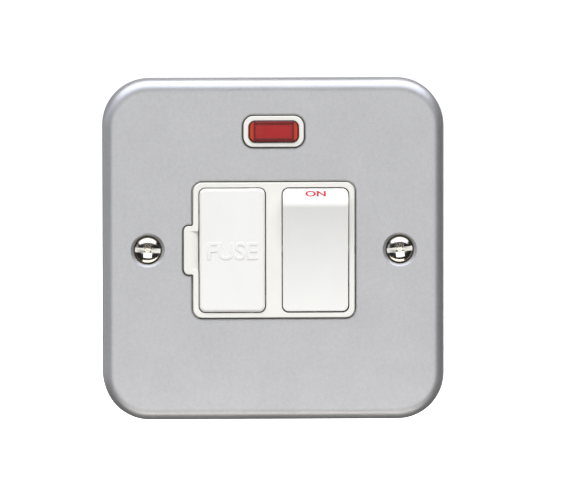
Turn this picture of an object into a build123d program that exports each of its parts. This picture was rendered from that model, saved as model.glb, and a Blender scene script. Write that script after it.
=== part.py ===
from build123d import *
import os
from math import asin, atan2, cos, degrees, hypot, radians, sin, sqrt

os.makedirs("parts", exist_ok=True)

# Switched fused connection unit for a surface metal-clad box, in millimetres.
# x runs to the right, y into the wall and z up. The origin lies midway between the two fixing screws, on the
# plane where the rim of the plate meets its box. A height is measured from that plane towards the viewer.

# Front plate, one steel pressing
plate_width = 81.6
plate_height = 81.6
plate_depth = 9.0
plate_corner = 11.2
front_roll = 2.8
sheet = 1.2
window_gap = 0.3
window_rounding = 0.4

# Fixing screws at the standard centres, each sunk in a conical dimple
fixing_pitch = 60.3
dimple_radius = 4.1
fixing_hole_radius = 2.1
screw_radius = 1.75
screw_neck_radius = 1.4
screw_head_radius = 3.35
screw_seat_gap = 0.04
screw_dome = 1.3
screw_reach = 16.0
screw_tip_chamfer = 0.5
screw_slot_width = 1.1
screw_slot_depth = 1.45
screw_cross_span = 3.9
screw_cross_width = 1.3
screw_cross_depth = 2.2
screw_pit_radius = 1.5
screw_pit_taper = 30.0
screw_turns = (-3.0, 6.0)

# White insert that stands in the large window, with a tab on the left for the finger scoop
frame_rim = 1.25
frame_end_rim = 1.15
island_corner = 2.2
island_proud = 0.5
island_rounding = 0.2
tab_reach = 2.25
tab_height = 11.6
tab_corner = 1.2
tab_root = 0.4
scoop_height = 9.2
scoop_reach = 2.3
scoop_depth = 1.0
scoop_nose = 0.4

# The fuse carrier and the rocker share one size of bay
bay_pitch = 19.9
key_width = 15.7
key_height = 29.6
key_corner = 1.4
key_gap = 0.25

# Neon bezel and lens above the bays
neon_rise = 28.4
bezel_width = 14.4
bezel_height = 7.4
bezel_corner = 2.4
bezel_proud = 0.4
lens_width = 11.9
lens_height = 5.1
lens_corner = 1.5
lens_gap = 0.15
lens_proud = 0.5
lens_wall = 1.35
lens_front = 1.0
lens_lip = 1.1
lens_lip_thickness = 1.0

# Mouldings of the switch module behind the plate
flange_thickness = 2.0
flange_margin = 5.0
flange_bottom = 24.5
flange_corner = 1.5
well_wall = 1.3
well_depth = 3.8
rear_margin = 0.2
rear_wall = 1.6
rear_floor = 2.0
rear_floor_height = -7.5
rail_face = 14.0
rail_height = -12.5
shelf_height = -0.8
shelf_thickness = 1.6
neon_box_width = 28.0
neon_box_wall = 1.2
neon_box_height = -1.5
neon_room_above = 4.7
neon_room_below = 3.9

# Screws and bushes that hold the module to the plate
bush_x = 20.2
bush_z = 20.2
bush_radius = 2.5
bush_length = 5.8
bush_gap = 0.2
bush_blind = 0.8
boss_radius = 3.4
module_screw_radius = 1.45
module_screw_gap = 0.1
module_screw_grip = 4.0
module_head_radius = 2.75
module_head_height = 1.9
module_head_gap = 0.35
module_head_seat = -9.5
module_slot_width = 0.8
module_slot_depth = 0.9

# Fuse carrier, hinged on two trunnions near its right-hand edge
carrier_height = 10.0
carrier_thickness = 1.8
carrier_rounding = 0.7
hinge_inset = 3.2
hinge_depth = 2.4
trunnion_radius = 0.9
trunnion_gap = 0.08
trunnion_reach = 0.75
trunnion_end_gap = 0.2
hub_radius = 1.9
cheek_thickness = 1.2
cheek_reach = 11.0
cheek_depth = 5.4
cheek_corner = 2.0
carrier_joint = 0.3
mullion_relief = 0.55
mullion_relief_run = 1.0

# Cartridge fuse, 25.4 by 6.35, and the claws that hold it
fuse_end_room = 2.1
fuse_radius = 3.175
fuse_cap_length = 5.6
fuse_cap_wall = 0.27
fuse_body_gap = 0.02
fuse_back = 6.5
fuse_depth = 3.2
fuse_end_gap = 0.25
claw_gap = 0.08
claw_thickness = 0.9
claw_inner = 2.0
claw_outer = 5.5
claw_lip = 1.2

# Spring clips of brass strip, curved about the hinge so that the fuse swings in and out of them
clip_strip = 0.8
clip_gap = 0.2
clip_mouth = 14.0
clip_inset = 0.7
clip_margin = 0.2

# Rocker, drawn in its ON position with the upper end standing out
rocker_pivot_height = 7.2
rocker_throw = 12.0
rocker_ridge_height = 12.3
rocker_ridge_rise = 11.45
rocker_top_height = 9.75
rocker_bottom_height = 9.35
rocker_hollow = 0.77
rocker_ridge_rounding = 2.0
rocker_edge_rounding = 0.25
rocker_front_lean = 60.0
rocker_skirt_height = 5.0
rocker_wall = 1.5
rocker_end_gap = 0.18
rocker_trunnion_radius = 1.2
rocker_trunnion_gap = 0.1
rocker_trunnion_reach = 1.2
rocker_trunnion_end_gap = 0.2

# Two sprung plungers in the rocker, one for each pole
pole_x = (6.35, 13.55)
tube_radius = 2.2
tube_bore = 1.35
tube_start = -2.0
tube_bore_start = -0.6
tube_end = 5.5
plunger_radius = 1.2
plunger_start = 3.2
plunger_clearance = 0.12
spring_wire = 0.2
spring_gap = 0.1
spring_turns = 4
spring_wire_sides = 8

# Rocking contact bars, bent to a shallow V with a knuckle under the bend
bar_pivot_height = -4.3
bar_thickness = 0.8
bar_width = 3.6
bar_arm = 8.0
bar_knuckle = 1.0
saddle_gap = 0.06
saddle_half_width = 1.6
saddle_drop = 0.65
strip_thickness = 1.0
contact_rise = 7.25
contact_radius = 1.5
moving_contact_height = 0.76
contact_gap = 0.1
bridge_x = 0.0
bridge_width = 3.0

# Wire terminals, pocketed in the rails of the rear moulding
terminal_width = 5.8
terminal_length = 8.0
terminal_depth = 8.0
terminal_z = 19.5
terminal_chamfer = 0.4
terminal_gap = 0.1
terminal_bore = 2.1
terminal_bore_depth = 6.8
terminal_bore_height = -6.3
terminal_screw_radius = 1.85
terminal_screw_gap = 0.05
terminal_screw_stand = 0.15
terminal_head_radius = 2.5
terminal_head_height = 1.6
terminal_head_gap = 0.1
terminal_slot_width = 0.9
terminal_slot_depth = 0.9
wire_entry_radius = 2.7
load_live_x = -9.3

# Earth terminal on a bracket that is welded to the plate
earth_width = 12.0
earth_x = -11.0
earth_sheet = 1.0
earth_module_gap = 3.1
earth_edge_gap = 1.6
earth_length = 7.4
earth_depth = 8.0
earth_block_height = -2.0
earth_bore_pitch = 6.0
earth_bore_depth = 6.0

# Neon lamp, its resistor and leads
lamp_radius = 2.1
lamp_length = 11.0
lamp_wall = 0.4
lamp_height = 2.6
lead_radius = 0.35
lead_gap = 0.02
lead_bend = 1.0
lead_slot_gap = 0.25
lead_well_gap = 0.1
electrode_radius = 0.6
electrode_gap = 1.2
resistor_radius = 0.9
resistor_length = 4.2
resistor_stand = 1.1
resistor_rounding = 0.3

# Heights and places that follow from the sizes above
sheet_back = plate_depth - sheet
flange_back = sheet_back - flange_thickness
island_face = plate_depth + island_proud
well_back = flange_back - well_depth
bay_width = key_width + 2 * key_gap
bay_height = key_height + 2 * key_gap
bay_corner = key_corner + key_gap
mullion = bay_pitch - bay_width
island_width = bay_pitch + bay_width + 2 * frame_rim
island_height = bay_height + 2 * frame_end_rim
flange_width = island_width + 2 * flange_margin
neon_box_bottom = neon_rise - neon_room_below
neon_box_top = neon_rise + neon_room_above + neon_box_wall
flange_top = neon_box_top + rear_margin
well_top = bay_height / 2 + well_wall
carrier_x = -bay_pitch / 2
rocker_x = bay_pitch / 2
rear_width = flange_width + 2 * rear_margin
rear_back = rear_floor_height - rear_floor
shelf_back = shelf_height - shelf_thickness
fixing_x = (-fixing_pitch / 2, fixing_pitch / 2)
bush_points = [(sx * bush_x, sz * bush_z) for sx in (-1, 1) for sz in (-1, 1)]
bush_end = sheet_back - bush_length

hinge_x = carrier_x + key_width / 2 - hinge_inset
hinge_height = carrier_height - hinge_depth
carrier_back = carrier_height - carrier_thickness
fuse_length = key_height - 2 * fuse_end_room
cheek_inner = fuse_length / 2 + fuse_end_gap
cheek_outer = cheek_inner + cheek_thickness
cheek_top = carrier_back + carrier_joint
cheek_bottom = hinge_height - cheek_depth
fuse_x = hinge_x - fuse_back
fuse_height = hinge_height - fuse_depth
fuse_arm = hypot(fuse_back, fuse_depth)
fuse_angle = degrees(atan2(fuse_depth, fuse_back))

rocker_pivot = (rocker_pivot_height, 0)
rocker_end_radius = bay_height / 2 - rocker_end_gap
plunger_tilt = rocker_throw / 2
bar_bend = rocker_throw
pivot_span = rocker_pivot_height - bar_pivot_height
plunger_ball = pivot_span - (bar_thickness / 2 + plunger_radius + plunger_clearance) / cos(radians(bar_bend))
strip_top = rear_floor_height + strip_thickness
bar_back = bar_pivot_height - bar_thickness / 2
moving_contact_face = bar_back - moving_contact_height
terminal_inner = terminal_z - terminal_length / 2
terminal_outer = terminal_z + terminal_length / 2
terminal_front = shelf_back - terminal_gap
terminal_back = terminal_front - terminal_depth
terminal_screw_tip = terminal_bore_height - terminal_bore - terminal_screw_stand
lead_live_x = load_live_x
lead_live_z = terminal_z
lead_neutral_x = pole_x[1] - terminal_width / 2 + lead_radius
lead_neutral_z = well_top + lead_radius + lead_well_gap
terminals = {
    "feed_live_terminal": (pole_x[0], -1),
    "feed_neutral_terminal": (pole_x[1], -1),
    "load_live_terminal": (load_live_x, 1),
    "load_neutral_terminal": (pole_x[1], 1),
}


def face_on(height):
    """Sketch plane seen from the front, with x to the right and y up."""
    return Plane.XZ.offset(height)


def side_on(x):
    """Sketch plane seen from the left, with x towards the viewer and y up."""
    return Plane((x, 0, 0), x_dir=(0, -1, 0), z_dir=(-1, 0, 0))


def end_on(z):
    """Sketch plane seen from below, with x to the right and y towards the viewer."""
    return Plane((0, 0, z), x_dir=(1, 0, 0), z_dir=(0, 0, -1))


def along_plunger(x):
    """Plane at the rocker's pivot, facing down the plunger of one pole."""
    tilt = radians(plunger_tilt)
    return Plane((x, -rocker_pivot_height, 0), x_dir=(1, 0, 0), z_dir=(0, cos(tilt), sin(tilt)))


def about_hinge(radius, angle):
    """Point of an end-on sketch at an angle round the hinge, from the carrier's free edge inwards."""
    return (hinge_x - radius * cos(radians(angle)), hinge_height - radius * sin(radians(angle)))


def save(builder, name):
    """Label a finished piece and write it out."""
    builder.part.label = name
    export_step(builder.part, f"parts/{name}.step")


# Outlines that the insert and the plate's windows share
with BuildSketch() as island_outline:
    RectangleRounded(island_width, island_height, island_corner)
    with Locations((-island_width / 2, 0)):
        RectangleRounded(2 * tab_reach, tab_height, tab_corner)
    fillet(island_outline.vertices().group_by(SortBy.DISTANCE)[0], tab_root)

with BuildSketch() as bezel_outline:
    with Locations((0, neon_rise)):
        RectangleRounded(bezel_width, bezel_height, bezel_corner)

with BuildSketch() as window_outlines:
    add(island_outline.sketch)
    add(bezel_outline.sketch)
    offset(amount=window_gap)

# Front plate: a shallow dish with a rolled front edge, two windows and a conical dimple for each screw
dimple_depth = dimple_radius - fixing_hole_radius
bulge_back = plate_depth - dimple_depth - sheet / sqrt(2)
bulge_tip = fixing_hole_radius + sheet / sqrt(2)
bulge_base = bulge_tip + sheet_back - bulge_back

with BuildPart(Plane.XZ) as front_plate:
    with BuildSketch(face_on(0)):
        RectangleRounded(plate_width, plate_height, plate_corner)
    extrude(amount=plate_depth)
    fillet(front_plate.faces().sort_by(Axis.Y)[0].edges(), front_roll)
    offset(amount=-sheet, openings=front_plate.faces().sort_by(Axis.Y)[-1])
    with BuildSketch(face_on(plate_depth)):
        add(window_outlines.sketch)
    extrude(amount=-2 * sheet, mode=Mode.SUBTRACT)
    fillet(front_plate.faces().sort_by(Axis.Y)[0].inner_wires().edges(), window_rounding)
    with Locations(*[(x, 0, (sheet_back + bulge_back) / 2) for x in fixing_x]):
        Cone(bulge_tip, bulge_base, sheet_back - bulge_back)
    with Locations(*[(x, 0, plate_depth) for x in fixing_x]):
        CounterSinkHole(fixing_hole_radius, dimple_radius, counter_sink_angle=90)
save(front_plate, "front_plate")

# Fixing screws: raised countersunk heads with a slot and a cross, and a thinner neck under the head
screw_rim = plate_depth - (dimple_radius - screw_head_radius) + screw_seat_gap
screw_crown = screw_rim + screw_dome
screw_thread = bulge_back - screw_tip_chamfer

with BuildPart(Plane.XZ) as fixing_screws:
    for x, turn in zip(fixing_x, screw_turns):
        with BuildSketch(end_on(0)):
            with BuildLine():
                SagittaArc((x - screw_head_radius, screw_rim), (x + screw_head_radius, screw_rim), screw_dome)
            with BuildLine():
                Polyline(
                    (x - screw_head_radius, screw_rim),
                    (x - screw_neck_radius, screw_rim - screw_head_radius + screw_neck_radius),
                    (x - screw_neck_radius, screw_thread),
                    (x - screw_radius, screw_thread),
                    (x - screw_radius, screw_tip_chamfer - screw_reach),
                    (x - screw_radius + screw_tip_chamfer, -screw_reach),
                    (x + screw_radius - screw_tip_chamfer, -screw_reach),
                    (x + screw_radius, screw_tip_chamfer - screw_reach),
                    (x + screw_radius, screw_thread),
                    (x + screw_neck_radius, screw_thread),
                    (x + screw_neck_radius, screw_rim - screw_head_radius + screw_neck_radius),
                    (x + screw_head_radius, screw_rim),
                )
            make_face()
            with Locations((x + screw_head_radius, 0)):
                Rectangle(2 * screw_head_radius, 4 * screw_reach, mode=Mode.SUBTRACT)
        revolve(axis=Axis((x, 0, 0), (0, 1, 0)))
        with BuildSketch(face_on(screw_crown)):
            with Locations((x, 0)):
                Rectangle(3 * screw_head_radius, screw_slot_width, rotation=turn)
        extrude(amount=-screw_slot_depth, mode=Mode.SUBTRACT)
        with BuildSketch(face_on(screw_crown)):
            with Locations((x, 0)):
                Rectangle(screw_cross_span, screw_cross_width, rotation=turn)
                Rectangle(screw_cross_width, screw_cross_span, rotation=turn)
        extrude(amount=-screw_cross_depth, mode=Mode.SUBTRACT)
        with BuildSketch(face_on(screw_crown)):
            with Locations((x, 0)):
                Circle(screw_pit_radius)
        extrude(amount=-screw_cross_depth, taper=screw_pit_taper, mode=Mode.SUBTRACT)
save(fixing_screws, "fixing_screws")

# Plate bushes: four tapped pillars welded to the back of the plate
with BuildPart() as plate_bushes:
    with BuildSketch(face_on(bush_end)):
        with Locations(*bush_points):
            Circle(bush_radius)
            Circle(module_screw_radius + module_screw_gap, mode=Mode.SUBTRACT)
    extrude(amount=bush_length)
    with BuildSketch(face_on(sheet_back)):
        with Locations(*bush_points):
            Circle(bush_radius)
    extrude(amount=-bush_blind)
save(plate_bushes, "plate_bushes")

# Front housing: flange behind the plate, insert through the window, two open wells and the neon bezel
with BuildPart() as front_housing:
    with BuildSketch(face_on(flange_back)):
        with Locations((0, (flange_top - flange_bottom) / 2)):
            RectangleRounded(flange_width, flange_top + flange_bottom, flange_corner)
    extrude(amount=flange_thickness)
    with BuildSketch(face_on(sheet_back)):
        add(island_outline.sketch)
    extrude(amount=island_face - sheet_back)
    fillet(front_housing.faces().sort_by(Axis.Y)[0].edges(), island_rounding)
    with BuildSketch(face_on(sheet_back)):
        add(bezel_outline.sketch)
    bezel = extrude(amount=sheet + bezel_proud)
    fillet(bezel.faces().sort_by(Axis.Y)[0].edges(), island_rounding)
    with BuildSketch(face_on(well_back)):
        Rectangle(bay_pitch + bay_width + 2 * well_wall, 2 * well_top)
    extrude(amount=well_depth)
    # The bays go right through
    with BuildSketch(face_on(well_back)):
        with Locations((carrier_x, 0), (rocker_x, 0)):
            RectangleRounded(bay_width, bay_height, bay_corner)
    extrude(amount=island_face - well_back, mode=Mode.SUBTRACT)
    # The mullion is cut back on the carrier's side, where the carrier's hinged edge swings
    with BuildSketch(end_on(bay_height / 2)):
        with BuildLine():
            Polyline(
                (-mullion / 2, island_face),
                (-mullion / 2 + mullion_relief, island_face - mullion_relief_run),
                (-mullion / 2 + mullion_relief, well_back),
                (-mullion / 2 - bay_corner, well_back),
                (-mullion / 2 - bay_corner, island_face - mullion_relief_run / 2),
                close=True,
            )
        make_face()
    extrude(amount=bay_height, mode=Mode.SUBTRACT)
    # The finger scoop rolls down from the tab's face to the carrier's free edge
    scoop_edge = carrier_x - bay_width / 2
    with BuildSketch(end_on(scoop_height / 2)):
        with BuildLine():
            TangentArc(
                (scoop_edge - scoop_reach, island_face),
                (scoop_edge, island_face - scoop_depth),
                tangent=(1, 0),
            )
            Polyline(
                (scoop_edge, island_face - scoop_depth),
                (scoop_edge + key_gap, island_face - scoop_depth),
                (scoop_edge + key_gap, island_face + island_rounding),
                (scoop_edge - scoop_reach, island_face + island_rounding),
                (scoop_edge - scoop_reach, island_face),
            )
        make_face()
    extrude(amount=scoop_height, mode=Mode.SUBTRACT)
    upright = front_housing.edges().filter_by(Axis.Y)
    scoop_side = upright.filter_by_position(Axis.X, scoop_edge - key_gap, scoop_edge + key_gap)
    fillet(scoop_side.filter_by_position(Axis.Z, -scoop_height, scoop_height), scoop_nose)
    with BuildSketch(face_on(flange_back)):
        with Locations((0, neon_rise)):
            RectangleRounded(lens_width + 2 * lens_gap, lens_height + 2 * lens_gap, lens_corner + lens_gap)
    extrude(amount=flange_thickness + sheet + bezel_proud, mode=Mode.SUBTRACT)
    # Blind holes for the carrier's and the rocker's trunnions
    carrier_hole = bay_height / 2 + trunnion_reach + trunnion_end_gap
    with BuildSketch(end_on(carrier_hole)):
        with Locations((hinge_x, hinge_height)):
            Circle(trunnion_radius + trunnion_gap)
    extrude(amount=2 * carrier_hole, mode=Mode.SUBTRACT)
    rocker_hole = bay_width / 2 + rocker_trunnion_reach + rocker_trunnion_end_gap
    with BuildSketch(side_on(rocker_x + rocker_hole)):
        with Locations(rocker_pivot):
            Circle(rocker_trunnion_radius + rocker_trunnion_gap)
    extrude(amount=2 * rocker_hole, mode=Mode.SUBTRACT)
    with BuildSketch(face_on(flange_back)):
        with Locations(*bush_points):
            Circle(bush_radius + bush_gap)
    extrude(amount=flange_thickness, mode=Mode.SUBTRACT)
save(front_housing, "front_housing")

# Rear housing: a tray with a rail of terminal pockets along the top and bottom, and a box for the neon
rear_height = 2 * flange_bottom

with BuildPart() as rear_housing:
    with BuildSketch(face_on(rail_height)):
        RectangleRounded(rear_width, rear_height, flange_corner)
    extrude(amount=flange_back - rail_height)
    with BuildSketch(face_on(rail_height)):
        Rectangle(2 * rear_width, 2 * rail_face)
    extrude(amount=rear_back - rail_height, mode=Mode.SUBTRACT)
    with BuildSketch(face_on(flange_back)):
        Rectangle(rear_width - 2 * rear_wall, rear_height - 2 * rear_wall)
    extrude(amount=shelf_height - flange_back, mode=Mode.SUBTRACT)
    with BuildSketch(face_on(flange_back)):
        Rectangle(rear_width - 2 * rear_wall, 2 * rail_face)
    extrude(amount=rear_floor_height - flange_back, mode=Mode.SUBTRACT)
    # Corner bosses that the plate bushes stand on, with a screw through each
    with BuildSketch(face_on(shelf_height)):
        with Locations(*bush_points):
            Circle(boss_radius)
    extrude(amount=bush_end - shelf_height)
    with BuildSketch(face_on(rail_height)):
        with Locations(*bush_points):
            Circle(module_screw_radius + 2 * module_screw_gap)
    extrude(amount=bush_end - rail_height, mode=Mode.SUBTRACT)
    with BuildSketch(face_on(rail_height)):
        with Locations(*bush_points):
            Circle(module_head_radius + module_head_gap)
    extrude(amount=module_head_seat - rail_height, mode=Mode.SUBTRACT)
    # Box behind the lens, open to the front
    with BuildSketch(face_on(neon_box_height)):
        with Locations((0, (neon_box_top + flange_bottom) / 2)):
            Rectangle(neon_box_width, neon_box_top - flange_bottom)
    extrude(amount=flange_back - neon_box_height)
    with BuildSketch(face_on(neon_box_height + neon_box_wall)):
        with Locations((0, (neon_box_top - neon_box_wall + neon_box_bottom) / 2)):
            Rectangle(neon_box_width - 2 * neon_box_wall, neon_box_top - neon_box_wall - neon_box_bottom)
    extrude(amount=flange_back - neon_box_height, mode=Mode.SUBTRACT)
    # Slots for the neon's leads, and holes where they reach the terminals
    lead_slot = lead_radius + lead_slot_gap
    with BuildSketch(face_on(flange_back)):
        lead_wall_z = (flange_bottom + neon_box_bottom - rear_wall) / 2
        with Locations((lead_live_x, lead_wall_z), (lead_neutral_x, lead_wall_z)):
            Rectangle(2 * lead_slot, 2 * rear_wall + neon_box_bottom - flange_bottom)
    extrude(amount=lamp_height - lead_slot - flange_back, mode=Mode.SUBTRACT)
    with BuildSketch(face_on(shelf_height)):
        with Locations((lead_live_x, lead_live_z), (lead_neutral_x, lead_neutral_z)):
            Circle(lead_slot)
    extrude(amount=-shelf_thickness, mode=Mode.SUBTRACT)
    # Terminal pockets open to the rear, a wire entry for each, and a slot for the strip that feeds it
    for x, end in terminals.values():
        with BuildSketch(face_on(rail_height)):
            with Locations((x, end * terminal_z)):
                Rectangle(terminal_width + 2 * terminal_gap, terminal_length + 2 * terminal_gap)
        extrude(amount=shelf_back - rail_height, mode=Mode.SUBTRACT)
        with BuildSketch(Plane.XY.offset(end * terminal_z)):
            with Locations((x, -terminal_bore_height)):
                Circle(wire_entry_radius)
        extrude(amount=end * flange_bottom, mode=Mode.SUBTRACT)
        with BuildSketch(face_on(rear_floor_height)):
            with Locations((x, end * (rail_face + terminal_inner) / 2)):
                Rectangle(bar_width + 2 * terminal_gap, terminal_inner - rail_face + terminal_gap)
        extrude(amount=strip_thickness + terminal_gap, mode=Mode.SUBTRACT)
save(rear_housing, "rear_housing")

# Module screws: four cross-slotted screws from the rear into the bushes
with BuildPart() as module_screws:
    with BuildSketch(face_on(module_head_seat)):
        with Locations(*bush_points):
            Circle(module_screw_radius)
    extrude(amount=bush_end + module_screw_grip - module_head_seat)
    with BuildSketch(face_on(module_head_seat)):
        with Locations(*bush_points):
            Circle(module_head_radius)
    extrude(amount=-module_head_height)
    with BuildSketch(face_on(module_head_seat - module_head_height)):
        with Locations(*bush_points):
            Rectangle(module_head_radius, module_slot_width)
            Rectangle(module_slot_width, module_head_radius)
    extrude(amount=module_slot_depth, mode=Mode.SUBTRACT)
save(module_screws, "module_screws")

# Fuse carrier: the door, two cheeks with trunnions, and two pairs of claws that snap round the fuse
with BuildPart() as fuse_carrier:
    with BuildSketch(face_on(carrier_back)):
        with Locations((carrier_x, 0)):
            RectangleRounded(key_width, key_height, key_corner)
    extrude(amount=carrier_thickness)
    fillet(fuse_carrier.faces().sort_by(Axis.Y)[0].edges(), carrier_rounding)
    for side in (-1, 1):
        with BuildSketch(Plane.XY.offset(side * cheek_inner)) as cheek:
            with Locations((hinge_x - cheek_reach / 2, -(cheek_top + cheek_bottom) / 2)):
                Rectangle(cheek_reach, cheek_top - cheek_bottom)
            fillet(cheek.vertices().sort_by(Axis.Y)[-2:], cheek_corner)
            with Locations((hinge_x, -hinge_height)):
                Circle(hub_radius)
        extrude(amount=side * cheek_thickness)
        with BuildSketch(Plane.XY.offset(side * cheek_outer)):
            with Locations((hinge_x, -hinge_height)):
                Circle(trunnion_radius)
        extrude(amount=side * (bay_height / 2 + trunnion_reach - cheek_outer))
        with BuildSketch(Plane.XY.offset(side * claw_inner)):
            with Locations((fuse_x, -fuse_height)):
                Circle(fuse_radius + claw_gap + claw_thickness)
                Circle(fuse_radius + claw_gap, mode=Mode.SUBTRACT)
            with Locations((fuse_x, claw_lip - fuse_height + fuse_radius)):
                Rectangle(4 * fuse_radius, 2 * fuse_radius, mode=Mode.SUBTRACT)
        extrude(amount=side * (claw_outer - claw_inner))
save(fuse_carrier, "fuse_carrier")

# Cartridge fuse: a ceramic tube with a plated cap on each end
with BuildPart() as fuse_body:
    with BuildSketch(Plane.XY.offset(fuse_cap_wall + fuse_body_gap - fuse_length / 2)):
        with Locations((fuse_x, -fuse_height)):
            Circle(fuse_radius - fuse_cap_wall - fuse_body_gap)
    extrude(amount=fuse_length - 2 * (fuse_cap_wall + fuse_body_gap))
save(fuse_body, "fuse_body")

with BuildPart() as fuse_caps:
    for side in (-1, 1):
        with BuildSketch(Plane.XY.offset(side * (fuse_length / 2 - fuse_cap_length))):
            with Locations((fuse_x, -fuse_height)):
                Circle(fuse_radius)
        extrude(amount=side * fuse_cap_length)
        with BuildSketch(Plane.XY.offset(side * (fuse_length / 2 - fuse_cap_length))):
            with Locations((fuse_x, -fuse_height)):
                Circle(fuse_radius - fuse_cap_wall)
        extrude(amount=side * (fuse_cap_length - fuse_cap_wall), mode=Mode.SUBTRACT)
save(fuse_caps, "fuse_caps")

# Fuse clips: a U of strip for each cap, on a stem that stands on the floor of the rear moulding
clip_inner = fuse_length / 2 - fuse_cap_length + clip_margin
clip_outer = fuse_length / 2 - clip_inset
clip_z = (clip_inner + clip_outer) / 2
clip_grip = fuse_radius + clip_gap + clip_strip / 2
clip_base = fuse_angle + degrees(asin(clip_grip / fuse_arm))
clip_foot = about_hinge(fuse_arm, clip_base)

with BuildSketch() as clip_section:
    with BuildLine():
        CenterArc((hinge_x, hinge_height), fuse_arm - clip_grip, 180 + clip_mouth, clip_base - clip_mouth)
    trace(line_width=clip_strip)
    with BuildLine():
        CenterArc((hinge_x, hinge_height), fuse_arm + clip_grip, 180 + clip_mouth, clip_base - clip_mouth)
    trace(line_width=clip_strip)
    with BuildLine():
        Line(
            about_hinge(fuse_arm - clip_grip - clip_strip / 2, clip_base),
            about_hinge(fuse_arm + clip_grip + clip_strip / 2, clip_base),
        )
    trace(line_width=clip_strip)
    with BuildLine():
        Line(clip_foot, (clip_foot[0], rear_floor_height))
    trace(line_width=clip_strip)

# The lower clip carries on along the floor to the contact of the live pole
with BuildPart() as switched_fuse_clip:
    with BuildSketch(end_on(-clip_inner)):
        add(clip_section.sketch)
    extrude(amount=clip_outer - clip_inner)
    with BuildSketch(face_on(rear_floor_height)):
        with Locations(((clip_foot[0] - bar_width / 2 + bridge_x) / 2, -clip_z)):
            Rectangle(bridge_x - clip_foot[0] + bar_width / 2, clip_outer - clip_inner)
        with Locations((bridge_x, (contact_rise - clip_z) / 2)):
            Rectangle(bridge_width, contact_rise + clip_z + (clip_outer - clip_inner + bar_width) / 2)
        with Locations(((bridge_x + pole_x[0] + bar_width / 2) / 2, contact_rise)):
            Rectangle(pole_x[0] + bar_width / 2 - bridge_x, bar_width)
    extrude(amount=strip_thickness)
save(switched_fuse_clip, "switched_fuse_clip")

# The upper clip runs straight to the load terminal
with BuildPart() as load_fuse_clip:
    with BuildSketch(end_on(clip_outer)):
        add(clip_section.sketch)
    extrude(amount=clip_outer - clip_inner)
    with BuildSketch(face_on(rear_floor_height)):
        with Locations((load_live_x, (clip_inner + terminal_inner) / 2)):
            Rectangle(bar_width, terminal_inner - clip_inner)
    extrude(amount=strip_thickness)
save(load_fuse_clip, "load_fuse_clip")

# Rocker: a hollow cap with a bevelled top end, a dished face and a plunger tube for each pole
rocker_top = (rocker_top_height, sqrt(rocker_end_radius**2 - (rocker_top_height - rocker_pivot_height) ** 2))
rocker_ridge = (rocker_ridge_height, rocker_ridge_rise)
rocker_bottom = (
    rocker_bottom_height,
    -sqrt(rocker_end_radius**2 - (rocker_bottom_height - rocker_pivot_height) ** 2),
)
rocker_skirt_z = sqrt(rocker_end_radius**2 - (rocker_pivot_height - rocker_skirt_height) ** 2)

with BuildSketch() as rocker_section:
    with BuildLine():
        Line(rocker_top, rocker_ridge)
        SagittaArc(rocker_ridge, rocker_bottom, -rocker_hollow)
        ThreePointArc(
            rocker_bottom,
            (rocker_pivot_height, -rocker_end_radius),
            (rocker_skirt_height, -rocker_skirt_z),
        )
        Line((rocker_skirt_height, -rocker_skirt_z), (rocker_skirt_height, rocker_skirt_z))
        ThreePointArc(
            (rocker_skirt_height, rocker_skirt_z),
            (rocker_pivot_height, rocker_end_radius),
            rocker_top,
        )
    make_face()
    fillet(rocker_section.vertices().sort_by(Axis.X)[-1], rocker_ridge_rounding)

with BuildSketch() as rocker_cavity:
    add(rocker_section.sketch)
    offset(amount=-rocker_wall)
    with Locations((rocker_skirt_height + rocker_wall / 2, 0)):
        Rectangle(2 * rocker_wall, 2 * (rocker_skirt_z - rocker_wall))

with BuildPart() as rocker:
    with BuildSketch(side_on(rocker_x)):
        add(rocker_section.sketch)
    extrude(amount=key_width / 2, both=True)
    end_arcs = rocker.edges().filter_by(GeomType.CIRCLE)
    fillet(end_arcs.filter_by(lambda arc: abs(arc.radius - rocker_end_radius) < key_gap), key_corner)
    front_limit = -cos(radians(rocker_front_lean))
    face_edges = rocker.faces().filter_by(lambda face: face.normal_at().Y < front_limit).edges()
    across = face_edges.filter_by(Axis.X).sort_by(Axis.Z)
    fillet(face_edges.filter_by(Axis.X, reverse=True) + across[:1] + across[-1:], rocker_edge_rounding)
    with BuildSketch(side_on(rocker_x)):
        add(rocker_cavity.sketch)
    extrude(amount=key_width / 2 - rocker_wall, both=True, mode=Mode.SUBTRACT)
    for x in pole_x:
        with BuildSketch(along_plunger(x).offset(tube_start)):
            Circle(tube_radius)
        extrude(amount=tube_end - tube_start)
        with BuildSketch(along_plunger(x).offset(tube_bore_start)):
            Circle(tube_bore)
        extrude(amount=tube_end - tube_bore_start, mode=Mode.SUBTRACT)
    for side in (-1, 1):
        with BuildSketch(side_on(rocker_x + side * key_width / 2)):
            with Locations(rocker_pivot):
                Circle(rocker_trunnion_radius)
        extrude(amount=-side * (key_gap + rocker_trunnion_reach))
save(rocker, "rocker")

# Plungers: round-nosed pins that slide in the rocker's tubes
with BuildPart() as plungers:
    for x in pole_x:
        with BuildSketch(along_plunger(x).offset(plunger_start)):
            Circle(plunger_radius)
        extrude(amount=plunger_ball - plunger_start)
        with Locations(along_plunger(x).offset(plunger_ball)):
            Sphere(plunger_radius)
save(plungers, "plungers")

# Plunger springs: wound wire between the end of each tube and its plunger
spring_radius = tube_bore - spring_gap - spring_wire
spring_start = tube_bore_start + spring_gap + spring_wire
spring_length = plunger_start - spring_gap - spring_wire - spring_start

with BuildPart() as plunger_springs:
    for x in pole_x:
        seat = along_plunger(x).offset(spring_start)
        with BuildLine():
            coil = Helix(spring_length / spring_turns, spring_length, spring_radius, seat.origin, seat.z_dir)
        with BuildSketch(Plane(coil @ 0, z_dir=coil % 0)):
            RegularPolygon(spring_wire, spring_wire_sides)
        sweep(path=coil, is_frenet=True)
save(plunger_springs, "plunger_springs")

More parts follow.
